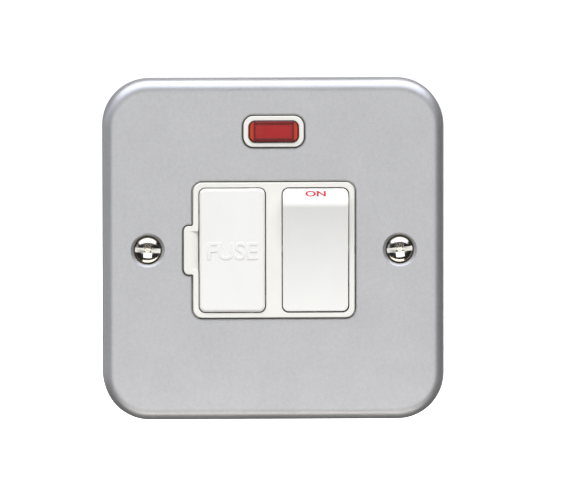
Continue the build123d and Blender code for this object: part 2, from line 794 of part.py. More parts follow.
# Contact bars: bent strip with a knuckle that rocks in the saddle, one for each pole
bar_pivot = (bar_pivot_height, 0)
for x, pole in zip(pole_x, ("live", "neutral")):
    with BuildPart() as contact_bar:
        with BuildSketch(side_on(x)):
            with Locations(bar_pivot):
                Circle(bar_knuckle)
            with Locations((bar_pivot_height + bar_knuckle, 0)):
                Rectangle(2 * bar_knuckle, 4 * bar_knuckle, mode=Mode.SUBTRACT)
            with BuildLine():
                Line(bar_pivot, (bar_pivot_height, bar_arm))
            trace(line_width=bar_thickness)
            with BuildLine():
                PolarLine(bar_pivot, bar_arm, 2 * bar_bend - 90)
            trace(line_width=bar_thickness)
        extrude(amount=bar_width / 2, both=True)
    save(contact_bar, f"{pole}_contact_bar")

    # Silver tip under the bar's upper end
    with BuildPart() as moving_contact:
        with BuildSketch(face_on(moving_contact_face)):
            with Locations((x, contact_rise - (bar_arm - contact_rise))):
                Circle(contact_radius)
        extrude(amount=moving_contact_height)
    save(moving_contact, f"{pole}_moving_contact")

    # Saddle that the knuckle rocks in, on a strip that runs down to the feed terminal
    with BuildPart() as saddle:
        with BuildSketch(face_on(rear_floor_height)):
            with Locations((x, (saddle_half_width - terminal_inner) / 2)):
                Rectangle(bar_width, terminal_inner + saddle_half_width)
        extrude(amount=strip_thickness)
        with BuildSketch(face_on(strip_top)):
            with Locations((x, 0)):
                Rectangle(bar_width, 2 * saddle_half_width)
        extrude(amount=bar_pivot_height - saddle_drop - strip_top)
        with BuildSketch(side_on(x)):
            with Locations(bar_pivot):
                Circle(bar_knuckle + saddle_gap)
        extrude(amount=bar_width, both=True, mode=Mode.SUBTRACT)
    save(saddle, f"{pole}_saddle")

# The neutral pole's load strip, and the silver tips that both bars close on
with BuildPart() as neutral_fixed_contact:
    with BuildSketch(face_on(rear_floor_height)):
        with Locations((pole_x[1], (contact_rise - bar_width / 2 + terminal_inner) / 2)):
            Rectangle(bar_width, terminal_inner - contact_rise + bar_width / 2)
    extrude(amount=strip_thickness)
save(neutral_fixed_contact, "neutral_fixed_contact")

with BuildPart() as fixed_contacts:
    with BuildSketch(face_on(strip_top)):
        with Locations(*[(x, contact_rise - (bar_arm - contact_rise)) for x in pole_x]):
            Circle(contact_radius)
    extrude(amount=moving_contact_face - contact_gap - strip_top)
save(fixed_contacts, "fixed_contacts")

# Terminals: brass blocks with a blind wire hole from the outer end and a clamping screw from the rear
for name, (x, end) in terminals.items():
    with BuildPart() as terminal:
        with BuildSketch(face_on(terminal_back)):
            with Locations((x, end * terminal_z)):
                Rectangle(terminal_width, terminal_length)
        extrude(amount=terminal_depth)
        chamfer(terminal.faces().sort_by(Axis.Y)[-1].edges(), terminal_chamfer)
        with BuildSketch(Plane.XY.offset(end * terminal_outer)):
            with Locations((x, -terminal_bore_height)):
                Circle(terminal_bore)
        extrude(amount=-end * terminal_bore_depth, mode=Mode.SUBTRACT)
        with BuildSketch(face_on(terminal_back)):
            with Locations((x, end * terminal_z)):
                Circle(terminal_screw_radius + terminal_screw_gap)
        extrude(amount=terminal_bore_height - terminal_back, mode=Mode.SUBTRACT)
    save(terminal, name)

# Terminal screws: slotted clamping screws, backed off so that each wire hole is open
terminal_points = [(x, end * terminal_z) for x, end in terminals.values()]
terminal_head = terminal_back - terminal_head_gap

with BuildPart() as terminal_screws:
    with BuildSketch(face_on(terminal_head)):
        with Locations(*terminal_points):
            Circle(terminal_screw_radius)
    extrude(amount=terminal_screw_tip - terminal_head)
    with BuildSketch(face_on(terminal_head)):
        with Locations(*terminal_points):
            Circle(terminal_head_radius)
    extrude(amount=-terminal_head_height)
    with BuildSketch(face_on(terminal_head - terminal_head_height)):
        with Locations(*terminal_points):
            Rectangle(2 * terminal_width, terminal_slot_width)
    extrude(amount=terminal_slot_depth, mode=Mode.SUBTRACT)
save(terminal_screws, "terminal_screws")

# Earth bracket: a foot on the back of the plate and an upstand behind the terminal
earth_upstand_z = -flange_bottom - earth_module_gap
earth_foot = plate_height / 2 - front_roll - earth_edge_gap + earth_upstand_z
earth_block_z = earth_upstand_z - earth_sheet - earth_length / 2
earth_back = earth_block_height - earth_depth
earth_points = [(earth_x + side * earth_bore_pitch / 2, earth_block_z) for side in (-1, 1)]

with BuildPart() as earth_bracket:
    with BuildSketch(face_on(sheet_back)):
        with Locations((earth_x, earth_upstand_z - earth_foot / 2)):
            Rectangle(earth_width, earth_foot)
    extrude(amount=-earth_sheet)
    with BuildSketch(face_on(sheet_back)):
        with Locations((earth_x, earth_upstand_z - earth_sheet / 2)):
            Rectangle(earth_width, earth_sheet)
    extrude(amount=earth_back - sheet_back)
save(earth_bracket, "earth_bracket")

# Earth terminal: one brass block with two wire holes, fixed to the upstand
with BuildPart() as earth_terminal:
    with BuildSketch(face_on(earth_back)):
        with Locations((earth_x, earth_block_z)):
            Rectangle(earth_width, earth_length)
    extrude(amount=earth_depth)
    chamfer(earth_terminal.faces().sort_by(Axis.Y)[-1].edges(), terminal_chamfer)
    for x, _ in earth_points:
        with BuildSketch(Plane.XY.offset(earth_block_z - earth_length / 2)):
            with Locations((x, -terminal_bore_height)):
                Circle(terminal_bore)
        extrude(amount=earth_bore_depth, mode=Mode.SUBTRACT)
    with BuildSketch(face_on(earth_back)):
        with Locations(*earth_points):
            Circle(terminal_screw_radius + terminal_screw_gap)
    extrude(amount=terminal_bore_height - earth_back, mode=Mode.SUBTRACT)
save(earth_terminal, "earth_terminal")

# Earth screws: two slotted clamping screws, backed off
earth_head = earth_back - terminal_head_gap
with BuildPart() as earth_screws:
    with BuildSketch(face_on(earth_head)):
        with Locations(*earth_points):
            Circle(terminal_screw_radius)
    extrude(amount=terminal_screw_tip - earth_head)
    with BuildSketch(face_on(earth_head)):
        with Locations(*earth_points):
            Circle(terminal_head_radius)
    extrude(amount=-terminal_head_height)
    with BuildSketch(face_on(earth_head - terminal_head_height)):
        with Locations(*earth_points):
            Rectangle(2 * terminal_head_radius, terminal_slot_width)
    extrude(amount=terminal_slot_depth, mode=Mode.SUBTRACT)
save(earth_screws, "earth_screws")

# Neon lens: a red cap with a hollow behind its face and a lip that stops it behind the bezel
lens_face = plate_depth + bezel_proud + lens_proud
with BuildPart() as neon_lens:
    with BuildSketch(face_on(flange_back)):
        with Locations((0, neon_rise)):
            RectangleRounded(lens_width, lens_height, lens_corner)
    extrude(amount=lens_face - flange_back)
    fillet(neon_lens.faces().sort_by(Axis.Y)[0].edges(), lens_proud)
    with BuildSketch(face_on(flange_back)):
        with Locations((0, neon_rise)):
            RectangleRounded(lens_width + 2 * lens_lip, lens_height + 2 * lens_lip, lens_corner)
    extrude(amount=-lens_lip_thickness)
    with BuildSketch(face_on(flange_back - lens_lip_thickness)):
        with Locations((0, neon_rise)):
            Rectangle(lens_width - 2 * lens_wall, lens_height - lens_wall)
    extrude(amount=lens_face - lens_front - flange_back + lens_lip_thickness, mode=Mode.SUBTRACT)
save(neon_lens, "neon_lens")

# Neon lamp: a glass envelope behind the lens, with a lead through each end
with BuildPart() as neon_lamp:
    with BuildSketch(face_on(lamp_height)):
        with Locations((0, neon_rise)):
            RectangleRounded(lamp_length, 2 * lamp_radius, lamp_radius / 2)
            RectangleRounded(
                lamp_length - 2 * lamp_wall,
                2 * (lamp_radius - lamp_wall),
                lamp_radius / 2 - lamp_wall,
                mode=Mode.SUBTRACT,
            )
        with Locations((0, neon_rise - lamp_radius)):
            Rectangle(lamp_length, 2 * (lamp_radius + lead_radius + lead_gap), mode=Mode.SUBTRACT)
    revolve(axis=Axis((0, -lamp_height, neon_rise), (1, 0, 0)))
save(neon_lamp, "neon_lamp")

# Neon electrodes: a short nickel rod on each lead inside the glass
electrode_length = lamp_length / 2 - lamp_wall - lead_bend - electrode_gap / 2
with BuildPart() as neon_electrodes:
    for side in (-1, 1):
        with BuildSketch(side_on(side * electrode_gap / 2)):
            with Locations((lamp_height, neon_rise)):
                Circle(electrode_radius)
        extrude(amount=-side * electrode_length)
save(neon_electrodes, "neon_electrodes")

# Neon leads: tinned wire from each electrode down to the front of its load terminal
electrode_end = electrode_gap / 2 + electrode_length
resistor_bottom = lead_neutral_z + resistor_stand
resistor_top = resistor_bottom + resistor_length
lead_routes = (
    [
        (-electrode_end, -lamp_height, neon_rise),
        (lead_live_x, -lamp_height, neon_rise),
        (lead_live_x, -lamp_height, lead_live_z),
        (lead_live_x, -terminal_front, lead_live_z),
    ],
    [
        (electrode_end, -lamp_height, neon_rise),
        (lead_neutral_x, -lamp_height, neon_rise),
        (lead_neutral_x, -lamp_height, resistor_top),
    ],
    [
        (lead_neutral_x, -lamp_height, resistor_bottom),
        (lead_neutral_x, -lamp_height, lead_neutral_z),
        (lead_neutral_x, -terminal_front, lead_neutral_z),
    ],
)
with BuildPart() as neon_leads:
    for route in lead_routes:
        with BuildLine():
            wire = FilletPolyline(*route, radius=lead_bend)
        with BuildSketch(Plane(wire @ 0, z_dir=wire % 0)):
            Circle(lead_radius)
        sweep(path=wire)
save(neon_leads, "neon_leads")

# Neon resistor: a barrel in the neutral lead
with BuildPart() as neon_resistor:
    with BuildSketch(Plane.XY.offset(resistor_bottom)):
        with Locations((lead_neutral_x, -lamp_height)):
            Circle(resistor_radius)
    extrude(amount=resistor_length)
    fillet(neon_resistor.edges(), resistor_rounding)
save(neon_resistor, "neon_resistor")
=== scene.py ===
import math
import bmesh
import bpy
from mathutils import Matrix, Vector


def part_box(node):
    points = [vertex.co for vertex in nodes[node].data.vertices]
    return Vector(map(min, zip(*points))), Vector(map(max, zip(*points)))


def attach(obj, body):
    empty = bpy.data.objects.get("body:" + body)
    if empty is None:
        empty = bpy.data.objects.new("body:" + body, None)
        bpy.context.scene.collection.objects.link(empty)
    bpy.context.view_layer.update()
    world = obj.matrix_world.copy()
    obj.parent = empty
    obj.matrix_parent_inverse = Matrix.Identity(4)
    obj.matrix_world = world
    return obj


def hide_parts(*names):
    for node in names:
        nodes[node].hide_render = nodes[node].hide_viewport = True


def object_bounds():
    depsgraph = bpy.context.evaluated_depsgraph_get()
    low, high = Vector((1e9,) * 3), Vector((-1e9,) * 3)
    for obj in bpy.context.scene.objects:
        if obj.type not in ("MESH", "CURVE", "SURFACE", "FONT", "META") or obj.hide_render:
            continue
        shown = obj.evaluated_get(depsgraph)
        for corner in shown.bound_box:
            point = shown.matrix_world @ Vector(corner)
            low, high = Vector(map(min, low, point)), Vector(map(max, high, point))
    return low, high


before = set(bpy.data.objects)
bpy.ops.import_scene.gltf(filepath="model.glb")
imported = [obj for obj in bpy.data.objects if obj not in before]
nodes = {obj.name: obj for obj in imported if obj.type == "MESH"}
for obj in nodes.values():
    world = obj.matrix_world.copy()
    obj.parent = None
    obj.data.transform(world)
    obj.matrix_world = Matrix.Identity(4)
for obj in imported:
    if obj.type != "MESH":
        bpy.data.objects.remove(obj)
cad_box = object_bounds()

# Front plate: a shallow dish pressed from mild steel, with its two windows pierced and its screw
# dimples coined in the same tool. It is stoved in a satin aluminium-grey paint, smooth to the hand,
# in which only a fine flake and the faint ripple of a sprayed coat show.
MM = 0.001
FIXING_PITCH = 60.3 * MM
DIMPLE_RADIUS = 4.1 * MM
DIMPLE_FOOT = 3.4 * MM
LIP_HEIGHT = 0.14 * MM
ORANGE_PEEL = 0.004 * MM
PAINT_FLAKE = 0.26 * MM
PAINT_RIPPLE = 1.1 * MM
PAINT_CLOUD = 11 * MM


def shade(red, green, blue):
    """A colour as it is read off a swatch, from 0 to 255, in the linear form that shaders take."""
    linear = []
    for part in (red, green, blue):
        # The curve of screen colours, which is a power with a straight foot near black.
        curved = ((part / 255 + 0.055) / 1.055) ** 2.4
        linear.append(curved if part > 10 else part / 3295)
    return (*linear, 1.0)


PAINT_DARK = shade(174, 174, 176)
PAINT_LIGHT = shade(225, 225, 226)


class Wire:
    """One socket of a shader, so that sums on sockets read as Python."""

    def __init__(self, tree, socket):
        self.tree = tree
        self.socket = socket

    @classmethod
    def node(cls, tree, kind, settings=None, sockets=None, result=None):
        """Add a node: first its settings, then a value or wire per socket, by name or number."""
        made = tree.nodes.new(kind)
        for name, value in (settings or {}).items():
            if name == "stops":
                cls.set_stops(made.color_ramp, value)
            else:
                setattr(made, name, value)
        shown = [socket for socket in made.inputs if socket.enabled]
        for name, value in (sockets or {}).items():
            socket = next(s for i, s in enumerate(shown) if name in (i, s.name))
            if isinstance(value, Wire):
                tree.links.new(value.socket, socket)
            else:
                socket.default_value = value
        for socket in made.outputs:
            if socket.enabled and result in (None, socket.name):
                return cls(tree, socket)

    @staticmethod
    def set_stops(ramp, stops):
        """Give a ramp its stops: a place from 0 to 1 and the colour from there to the next."""
        ramp.interpolation = "CONSTANT"
        while len(ramp.elements) < len(stops):
            ramp.elements.new(1)
        for element, (place, colour) in zip(ramp.elements, stops):
            element.position = place
            element.color = colour

    def maths(self, operation, *values):
        """Add a Math node on numbers and wires."""
        numbered = dict(enumerate(values))
        return self.node(self.tree, "ShaderNodeMath", {"operation": operation}, numbered)

    def __add__(self, other):
        return self.maths("ADD", self, other)

    __radd__ = __add__

    def __sub__(self, other):
        return self.maths("SUBTRACT", self, other)

    def __rsub__(self, other):
        return self.maths("SUBTRACT", other, self)

    def __mul__(self, other):
        return self.maths("MULTIPLY", self, other)

    __rmul__ = __mul__

    def __truediv__(self, other):
        return self.maths("DIVIDE", self, other)

    def __rtruediv__(self, other):
        return self.maths("DIVIDE", other, self)

    def __neg__(self):
        return 0 - self

    def __abs__(self):
        return self.maths("ABSOLUTE", self)

    def root(self):
        return self.maths("SQRT", self)

    def at_least(self, other):
        return self.maths("MAXIMUM", self, other)

    def at_most(self, other):
        return self.maths("MINIMUM", self, other)


def place_on(tree):
    """Where a point lies on its piece, in metres."""
    return Wire.node(tree, "ShaderNodeTexCoord", result="Object")


def along(tree, axis):
    """Where a point lies on its piece along one axis."""
    return Wire.node(tree, "ShaderNodeSeparateXYZ", None, {"Vector": place_on(tree)}, axis)


def distance_from(tree, axis, middle):
    """How far a point lies from a plane across one axis."""
    return abs(along(tree, axis) - middle)


def from_fixing(tree):
    """How far a point lies from the axis of the nearer fixing screw."""
    beside = distance_from(tree, "X", 0.0) - FIXING_PITCH / 2
    height = along(tree, "Z")
    return (beside * beside + height * height).root()


def grain(tree, size, detail=2.0, stretch=(1, 1, 1)):
    """Noise from 0 to 1 with marks of one size, in metres, drawn out along the axes by stretch."""
    marks = [size * share for share in stretch]
    drawn = Wire.node(
        tree, "ShaderNodeVectorMath", {"operation": "DIVIDE"}, {0: place_on(tree), 1: marks}
    )
    return Wire.node(
        tree, "ShaderNodeTexNoise", None, {"Vector": drawn, "Scale": 1, "Detail": detail}
    )


def between(tree, share, low, high):
    """Colour between two, by a share from 0 to 1."""
    return Wire.node(
        tree, "ShaderNodeMix", {"data_type": "RGBA"}, {"Factor": share, "A": low, "B": high}
    )


def ramp_up(tree, value, low, high):
    """Soft step of a value from 0 at low to 1 at high."""
    return Wire.node(
        tree,
        "ShaderNodeMapRange",
        {"interpolation_type": "SMOOTHSTEP"},
        {"Value": value, "From Min": low, "From Max": high},
    )


def relief(tree, height, depth):
    """Normal of a surface whose height runs from 0 to 1 over a depth in metres."""
    return Wire.node(tree, "ShaderNodeBump", None, {"Height": height, "Distance": depth})


def finish(name, look, fixed):
    """Material from a look, which gives what varies over the piece, and from its fixed sockets."""
    material = bpy.data.materials.new(name)
    material.use_nodes = True
    tree = material.node_tree
    tree.nodes.clear()
    shader = Wire.node(tree, "ShaderNodeBsdfPrincipled", None, {**fixed, **look(tree)})
    Wire.node(tree, "ShaderNodeOutputMaterial", None, {"Surface": shader})
    return material


def dress(material, *names):
    """Give CAD pieces their finish."""
    for name in names:
        for slot in nodes[name].material_slots:
            slot.material = material


def satin_paint(tree):
    flake = grain(tree, PAINT_FLAKE)
    ripple = grain(tree, PAINT_RIPPLE)
    cloud = grain(tree, PAINT_CLOUD, detail=3)
    tone = flake * 0.45 + ripple * 0.2 + cloud * 0.35
    peel = (ripple * 0.7 + flake * 0.3) * (ORANGE_PEEL / LIP_HEIGHT)
    lip = 1 - ramp_up(tree, from_fixing(tree), DIMPLE_FOOT, DIMPLE_RADIUS)
    return {
        "Base Color": between(tree, tone, PAINT_DARK, PAINT_LIGHT),
        "Roughness": 0.36 + cloud * 0.06 + flake * 0.08,
        "Normal": relief(tree, lip + peel, LIP_HEIGHT),
    }


plate_paint = finish(
    "satin_grey_paint",
    satin_paint,
    {"Metallic": 0.68, "Specular IOR Level": 0.5, "Coat Weight": 0.05, "Coat Roughness": 0.25},
)
dress(plate_paint, "front_plate")

# Plate bushes: four tapped steel pillars, zinc plated and projection-welded to the back of the
# plate. The switch module is screwed to them from behind.
ZINC_SPANGLE = 1.3 * MM
ZINC_STREAK = 0.12 * MM
ZINC_DARK = shade(168, 173, 181)
ZINC_LIGHT = shade(214, 216, 219)
BARE_METAL = {"Metallic": 1.0}


def zinc_plate(tree):
    spangle = Wire.node(
        tree,
        "ShaderNodeTexVoronoi",
        {"feature": "SMOOTH_F1"},
        {"Vector": place_on(tree), "Scale": 1 / ZINC_SPANGLE, "Smoothness": 0.4},
    )
    streak = grain(tree, ZINC_STREAK, stretch=(1, 6, 1))
    return {
        "Base Color": between(tree, spangle * 0.6 + streak * 0.4, ZINC_DARK, ZINC_LIGHT),
        "Roughness": 0.26 + streak * 0.16,
        "Normal": relief(tree, streak, depth=0.003 * MM),
    }


zinc = finish("bright_zinc_plate", zinc_plate, BARE_METAL)
dress(zinc, "plate_bushes")

# Front housing: one moulding in white urea, with a flange behind the plate, an island that stands
# through the large window round the two bays, and the bezel of the neon. A painted shade darkens
# the gap round the island and low in the rocker's bay, because light alone shades them too little.
housing_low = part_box("front_housing")[0]
FLANGE_DEPTH = 1.7 * MM
GAP_SHADE_FROM = 0.7 * FLANGE_DEPTH
ISLAND_HALF = Vector((19.4, 0, 16.2)) * MM
SWITCH_BAY_MIDDLE = 9.95 * MM
SWITCH_BAY_HALF = Vector((8.15, 0, 15.1)) * MM
BAY_SHADE_HEIGHT = (-0.9 * SWITCH_BAY_HALF.z, 0.2 * SWITCH_BAY_HALF.z)
BAY_SHADE_DEPTH = (0.1 * MM, 0.4 * MM)
PAINTED_SHADE_EDGE = 0.1 * MM
PAINTED_SHADE_SHARE = 0.95
PAINTED_SHADE_DARK = shade(56, 52, 46)
UREA_GLOSS = {"Specular IOR Level": 0.45, "IOR": 1.52}


def white_urea(tree, flow_size, drawn, bloom_size, dark, light, roughness):
    """What varies over a white moulding: a flow, drawn out along z, and a fine bloom."""
    flow = grain(tree, flow_size, detail=3, stretch=(1, 1, drawn))
    bloom = grain(tree, bloom_size, detail=1)
    return {
        "Base Color": between(tree, flow * 0.7 + bloom * 0.3, dark, light),
        "Roughness": roughness + flow * 0.06 + bloom * 0.05,
        "Normal": relief(tree, bloom, depth=0.0012 * MM),
    }


def outside(tree, middle, half):
    """Soft step from 0 within an upright rectangle, about a place on x, to 1 outside it."""
    beside = distance_from(tree, "X", middle) - half.x
    above = distance_from(tree, "Z", 0.0) - half.z
    return ramp_up(tree, beside.at_least(above), 0.0, PAINTED_SHADE_EDGE)


def housing_white(tree):
    varied = white_urea(
        tree,
        flow_size=4.5 * MM,
        drawn=1.8,
        bloom_size=0.22 * MM,
        dark=shade(236, 235, 229),
        light=shade(246, 245, 241),
        roughness=0.27,
    )
    depth = along(tree, "Y") - housing_low.y
    sunk = ramp_up(tree, depth, GAP_SHADE_FROM, FLANGE_DEPTH)
    gap = outside(tree, 0.0, ISLAND_HALF) * sunk
    in_bay = 1 - outside(tree, SWITCH_BAY_MIDDLE, SWITCH_BAY_HALF)
    low_down = 1 - ramp_up(tree, along(tree, "Z"), *BAY_SHADE_HEIGHT)
    foot = in_bay * low_down * ramp_up(tree, depth, *BAY_SHADE_DEPTH)
    # Painted shade: the gap round the island and the foot of the rocker's bay are darkened.
    painted = (gap + foot) * PAINTED_SHADE_SHARE
    return {**varied, "Base Color": between(tree, painted, varied["Base Color"], PAINTED_SHADE_DARK)}


dress(finish("white_urea_moulding", housing_white, UREA_GLOSS), "front_housing")

# Neon lens: a cap moulded in clear red acrylic, pushed through the bezel from behind until its lip
# stops it. Its face is thin over a hollow, and its thick side walls pipe light: that glow is
# painted on as a warmer red. The creases of the hollow and the dark outline of the face are painted
# shade.
lens_low, lens_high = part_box("neon_lens")
lens_middle = (lens_low + lens_high) / 2
LENS_LIP = 1.1 * MM
LENS_WALL = 1.35 * MM
LENS_CORNER = 1.5 * MM
LENS_CREASE = 0.25 * MM
LENS_OUTLINE = (0.1 * MM, 0.5 * MM)
LENS_CLOUD = 2.2 * MM
CREASE_SHARE = 0.8
OUTLINE_SHARE = 0.85
LENS_DARK = shade(190, 36, 42)
LENS_LIGHT = shade(206, 52, 52)
LENS_PAINTED_GLOW = shade(238, 66, 44)
CREASE_PAINTED_SHADE = shade(46, 34, 22)
OUTLINE_PAINTED_SHADE = shade(70, 4, 8)
lens_half_width = (lens_high.x - lens_low.x) / 2 - LENS_LIP
lens_half_height = (lens_high.z - lens_low.z) / 2 - LENS_LIP


def inside_outline(across, up, half_width, half_height, corner):
    """How far a point lies inside a rectangle with round corners, from its way off the middle."""
    past_width = across - (half_width - corner)
    past_height = up - (half_height - corner)
    wide = past_width.at_least(0.0)
    tall = past_height.at_least(0.0)
    deeper = past_width.at_least(past_height)
    return corner - (wide * wide + tall * tall).root() - deeper.at_most(0.0)


def red_acrylic(tree):
    across = distance_from(tree, "X", lens_middle.x)
    up = distance_from(tree, "Z", lens_middle.z)
    hollow_width = lens_half_width - LENS_WALL
    hollow_height = lens_half_height - LENS_WALL / 2
    side_wall = ramp_up(tree, across, hollow_width, hollow_width + LENS_CREASE)
    side_crease = 1 - ramp_up(tree, abs(across - hollow_width), 0.0, 2 * LENS_CREASE)
    top_crease = 1 - ramp_up(tree, abs(up - hollow_height), 0.0, 2 * LENS_CREASE)
    crease = side_crease.at_least(top_crease * (1 - side_wall))
    inwards = inside_outline(across, up, lens_half_width, lens_half_height, LENS_CORNER)
    outline = 1 - ramp_up(tree, inwards, *LENS_OUTLINE)
    cloud = grain(tree, LENS_CLOUD, detail=3)
    face = between(tree, cloud, LENS_DARK, LENS_LIGHT)
    # Painted glow on the thick side walls, then painted shade in the creases and round the outline.
    face_with_painted_glow = between(tree, side_wall, face, LENS_PAINTED_GLOW)
    face_with_crease_shade = between(tree, crease * CREASE_SHARE, face_with_painted_glow, CREASE_PAINTED_SHADE)
    return {
        "Base Color": between(tree, outline * OUTLINE_SHARE, face_with_crease_shade, OUTLINE_PAINTED_SHADE),
        "Roughness": 0.12 + cloud * 0.08,
        "Normal": relief(tree, cloud, depth=0.004 * MM),
    }


red_lens = finish(
    "red_acrylic",
    red_acrylic,
    {"Transmission Weight": 0.35, "IOR": 1.49, "Specular IOR Level": 0.3},
)
dress(red_lens, "neon_lens")

# Neon lamp: a soda-glass bulb with two electrodes on tinned leads. A lacquered resistor with
# coloured bands sits in the neutral lead, and both leads are pinched at the load terminals.
resistor_low, resistor_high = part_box("neon_resistor")
RESISTOR_BODY = shade(206, 178, 128)
BAND_COLOURS = (
    shade(152, 30, 28),
    shade(96, 60, 128),
    shade(214, 172, 44),
    shade(170, 130, 54),
)
BAND_STARTS = (0.16, 0.34, 0.52, 0.76)
BAND_SHARE = 0.08
LACQUER_RIPPLE = 0.4 * MM


def one_grain(size, dark, light, roughness, rougher, detail=2.0, stretch=(1, 1, 1), depth=None):
    """Look in which marks of one kind set the colour, are rougher, and may stand up by a depth."""

    def look(tree):
        marks = grain(tree, size, detail, stretch)
        varied = {
            "Base Color": between(tree, marks, dark, light),
            "Roughness": roughness + marks * rougher,
        }
        if depth is not None:
            varied["Normal"] = relief(tree, marks, depth)
        return varied

    return look


def banded_lacquer(tree):
    stops = [(0.0, RESISTOR_BODY)]
    for start, colour in zip(BAND_STARTS, BAND_COLOURS):
        stops += [(start, colour), (start + BAND_SHARE, RESISTOR_BODY)]
    share = (along(tree, "Z") - resistor_low.z) / (resistor_high.z - resistor_low.z)
    return {
        "Base Color": Wire.node(tree, "ShaderNodeValToRGB", {"stops": stops}, {"Fac": share}),
        "Roughness": 0.22 + grain(tree, LACQUER_RIPPLE) * 0.12,
    }


lamp_glass = one_grain(
    size=0.8 * MM,
    dark=shade(240, 243, 242),
    light=shade(252, 253, 253),
    roughness=0.02,
    rougher=0.03,
)
tinned = one_grain(
    size=0.09 * MM,
    stretch=(1, 1, 5),
    dark=shade(170, 170, 168),
    light=shade(212, 211, 207),
    roughness=0.28,
    rougher=0.14,
)
lacquer_gloss = {"Coat Weight": 0.4, "Coat Roughness": 0.1}
dress(finish("lamp_glass", lamp_glass, {"Transmission Weight": 1.0, "IOR": 1.51}), "neon_lamp")
dress(finish("tinned_wire", tinned, BARE_METAL), "neon_leads", "neon_electrodes")
dress(finish("resistor_lacquer", banded_lacquer, lacquer_gloss), "neon_resistor")

# Fuse carrier: a door in the same white urea as the frame, a shade cooler because it is a moulding
# of its own. The word FUSE is sunk in its mould, so it stands up from the face with soft edges.
carrier_low, carrier_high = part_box("fuse_carrier")
CAP_SHARE = 0.7
LETTER_CURVE_STEPS = 8
LETTER_EDGE_STEPS = 2
FUSE_SIZE = Vector((11.9, 4.2, 0.14)) * MM
FUSE_HEAVIER = 0.12 * MM
FUSE_GAP = 1.05
FUSE_DROP = 0.15 * MM
FUSE_SUNK = 0.02 * MM
UP_TO_FRONT = Matrix.Rotation(math.pi / 2, 4, "X")


def key_white(tree):
    return white_urea(
        tree,
        flow_size=5.5 * MM,
        drawn=1.6,
        bloom_size=0.2 * MM,
        dark=shade(238, 238, 236),
        light=shade(247, 247, 245),
        roughness=0.29,
    )


def as_shaped(shaped):
    """Mesh of an object as its modifiers or its curve settings shape it."""
    bpy.context.view_layer.update()
    depsgraph = bpy.context.evaluated_depsgraph_get()
    return bpy.data.meshes.new_from_object(shaped.evaluated_get(depsgraph))


def lettering(name, words, size, weight, rounding, gap=1.0):
    """Solid letters that fill a size, flat on x and y and up along z, with strokes made heavier."""
    curve = bpy.data.curves.new(name, "FONT")
    curve.body = words
    curve.resolution_u = LETTER_CURVE_STEPS
    curve.space_character = gap
    em = size.y / CAP_SHARE
    curve.extrude = (size.z - rounding) / 2 / em
    curve.bevel_depth = rounding / em
    curve.bevel_resolution = LETTER_EDGE_STEPS
    curve.offset = (weight - rounding) / em
    letters = bpy.data.objects.new(name, curve)
    bpy.context.scene.collection.objects.link(letters)
    mesh = as_shaped(letters)
    bpy.data.objects.remove(letters)
    for axis in range(3):
        places = [vertex.co[axis] for vertex in mesh.vertices]
        low, high = min(places), max(places)
        start = low if axis == 2 else (low + high) / 2
        for vertex in mesh.vertices:
            vertex.co[axis] = (vertex.co[axis] - start) / (high - low) * size[axis]
    return mesh


def piece(name, mesh, *materials):
    """Put a mesh into the scene under one name, with its finishes."""
    for material in materials:
        mesh.materials.append(material)
    made = bpy.data.objects.new(name, mesh)
    bpy.context.scene.collection.objects.link(made)
    return made


key_finish = finish("white_urea_key", key_white, UREA_GLOSS)
dress(key_finish, "fuse_carrier")
fuse_middle = ((carrier_low.x + carrier_high.x) / 2, carrier_low.y + FUSE_SUNK, -FUSE_DROP)
fuse_word = lettering("fuse_word", "FUSE", FUSE_SIZE, FUSE_HEAVIER, FUSE_SIZE.z / 2, FUSE_GAP)
fuse_word.transform(Matrix.Translation(fuse_middle) @ UP_TO_FRONT)
fuse_letters = piece("fuse_letters", fuse_word, key_finish)
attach(fuse_letters, "fuse_door")

# Cartridge fuse: a steatite tube with a nickel-plated brass cap cemented on each end. It lies in
# the claws of the carrier and swings out with the door.
STEATITE_PORE = 0.16 * MM
STEATITE_CLOUD = 3 * MM
STEATITE_DARK = shade(222, 215, 198)
STEATITE_LIGHT = shade(241, 237, 226)


def steatite(tree):
    pore = grain(tree, STEATITE_PORE, detail=3)
    cloud = grain(tree, STEATITE_CLOUD)
    return {
        "Base Color": between(tree, pore * 0.4 + cloud * 0.6, STEATITE_DARK, STEATITE_LIGHT),
        "Roughness": 0.34 + pore * 0.2,
        "Normal": relief(tree, pore, depth=0.004 * MM),
    }


cap_plate = one_grain(
    size=0.1 * MM,
    stretch=(1, 1, 8),
    dark=shade(178, 172, 158),
    light=shade(222, 218, 207),
    roughness=0.18,
    rougher=0.16,
    depth=0.002 * MM,
)
dress(finish("steatite", steatite, {"Specular IOR Level": 0.5}), "fuse_body")
dress(finish("cap_nickel", cap_plate, BARE_METAL), "fuse_caps")

# Rocker: a white urea key that rocks on two trunnions, with a bevelled top end and a dished face
# for a finger. The word ON is pad-printed in red on the bevel, where it shows when the key is on.
rocker_low, rocker_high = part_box("rocker")
BEVEL_FORWARD = 0.5
BEVEL_UPWARD = 0.4
ON_SIZE = Vector((4.95, 1.66, 0.012)) * MM
ON_HEAVIER = 0.08 * MM
ON_BELOW_EDGE = 1.3 * MM
RIGHT = Vector((1, 0, 0))


def on_the_bevel(face):
    """Whether a face looks forwards and upwards, as the bevel does."""
    return -face.normal.y > BEVEL_FORWARD and face.normal.z > BEVEL_UPWARD


